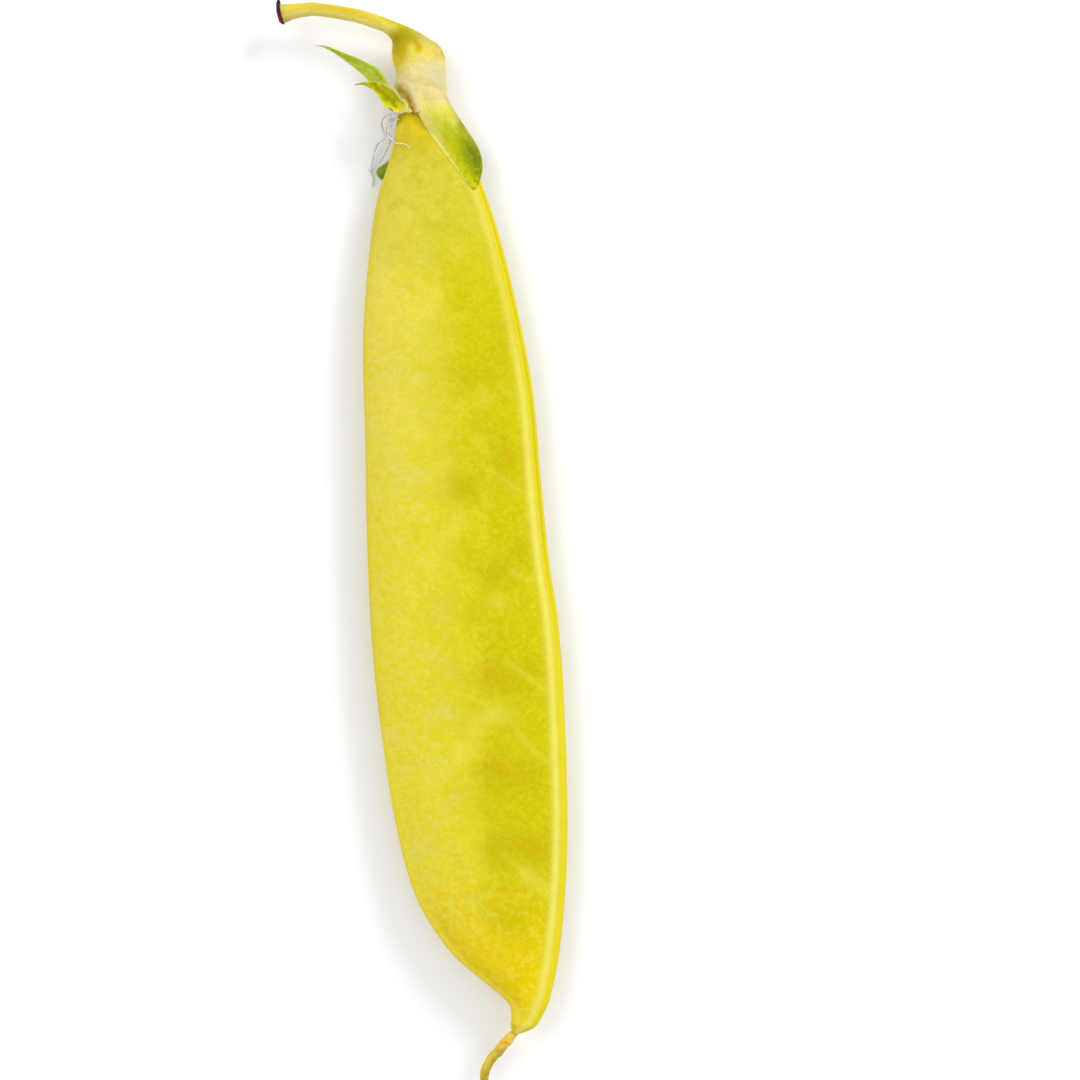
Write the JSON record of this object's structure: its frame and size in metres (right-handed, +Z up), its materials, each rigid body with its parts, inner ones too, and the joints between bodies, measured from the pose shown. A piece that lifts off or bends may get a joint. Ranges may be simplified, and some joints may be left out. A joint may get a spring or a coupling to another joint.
{
  "type": "pea pod",
  "caption": "Yellow flat-podded pea, as picked: a long flat pod with its curved stem, calyx, green sepals, withered stamens and dry tail, lying on its side.",
  "frame": {"origin": "under the middle of the whole object's box, on the surface it lies on", "axes": "+Y along the pod towards the stem, +X towards the ribbed seam that the seeds hang from, +Z up, out of the pod's upper wall"},
  "size_m": [0.0288, 0.109, 0.0055],
  "materials": {
    "pod_skin": "smooth waxy yellow skin, lightly mottled, paler along the seams",
    "calyx_skin": "thin cream-yellow skin with faint folds",
    "stem_skin": "matt yellow-green stalk with a dark dried cut end",
    "style_skin": "dry ochre thread with orange-brown spots",
    "sepal_skin": "soft matt green leaf, yellow towards its base",
    "papery": "thin dry white-grey tissue"
  },
  "bodies": {
    "root": {"pod": "pod_skin", "calyx_cup": "calyx_skin", "stem": "stem_skin", "style": "style_skin", "sepal_upper_front": "sepal_skin", "sepal_upper_back": "sepal_skin", "sepal_side_front": "sepal_skin", "sepal_side_back": "sepal_skin", "sepal_middle": "sepal_skin", "stamen_sheath": "papery", "stamen_thread_1": "papery", "stamen_thread_2": "papery", "stamen_thread_3": "papery", "stamen_thread_4": "papery"}
  },
  "joints": []
}
